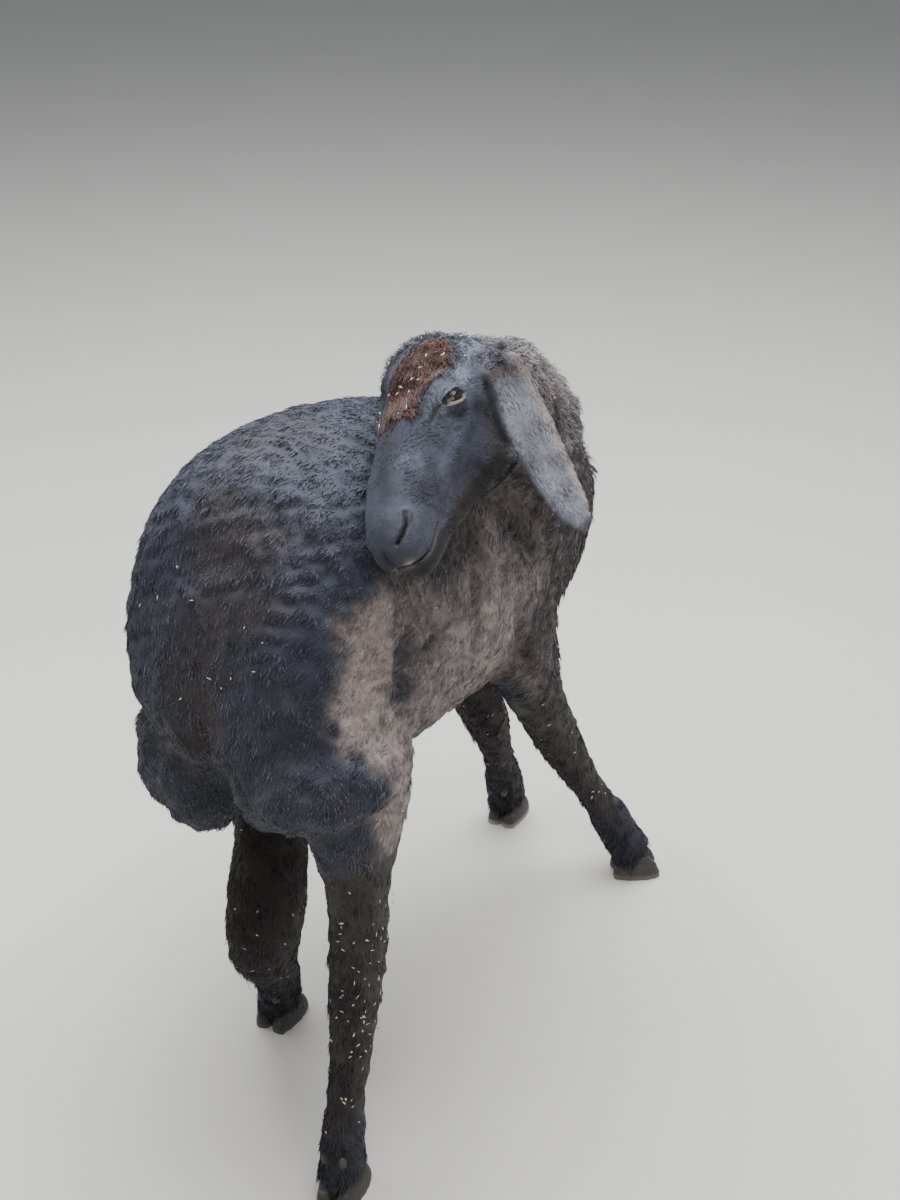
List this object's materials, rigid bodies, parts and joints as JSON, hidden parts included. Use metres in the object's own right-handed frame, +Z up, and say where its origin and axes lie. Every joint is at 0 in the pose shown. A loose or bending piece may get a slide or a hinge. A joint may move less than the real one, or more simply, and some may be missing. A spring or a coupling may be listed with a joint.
{
  "type": "sheep",
  "caption": "Life-size standing black sheep, shorn and fat-rumped, with drooping ears, looking back over its right side.",
  "frame": {"origin": "on the floor under the middle of the bounding box", "axes": "+Z up, -Y ahead of the animal, +X to its left"},
  "size_m": [0.4718, 0.7712, 0.9069],
  "materials": {
    "body_wool": "short shorn wool, blue-black on the back and browner on the flanks, in low wavy ridges",
    "neck_wool": "clumpy dark brown wool with sunburnt tips",
    "leg_hair": "short dark brown-black hair",
    "face_hair": "short blue-grey black hair with a soft sheen",
    "hoof_horn": "black horn with a paler worn edge",
    "eye": "dark wet eye with a level pupil"
  },
  "bodies": {
    "root": {"head": "face_hair", "neck": "neck_wool", "trunk": "body_wool", "tail": "body_wool", "foreleg_left": "leg_hair", "foreleg_right": "leg_hair", "hindleg_left": "leg_hair", "hindleg_right": "leg_hair", "ear_left": "face_hair", "eye_left": "eye", "ear_right": "face_hair", "eye_right": "eye", "hoof_fore_left_left": "hoof_horn", "dewclaw_fore_left_left": "hoof_horn", "hoof_fore_left_right": "hoof_horn", "dewclaw_fore_left_right": "hoof_horn", "hoof_fore_right_left": "hoof_horn", "dewclaw_fore_right_left": "hoof_horn", "hoof_fore_right_right": "hoof_horn", "dewclaw_fore_right_right": "hoof_horn", "hoof_hind_left_left": "hoof_horn", "dewclaw_hind_left_left": "hoof_horn", "hoof_hind_left_right": "hoof_horn", "dewclaw_hind_left_right": "hoof_horn", "hoof_hind_right_left": "hoof_horn", "dewclaw_hind_right_left": "hoof_horn", "hoof_hind_right_right": "hoof_horn", "dewclaw_hind_right_right": "hoof_horn"}
  },
  "joints": []
}
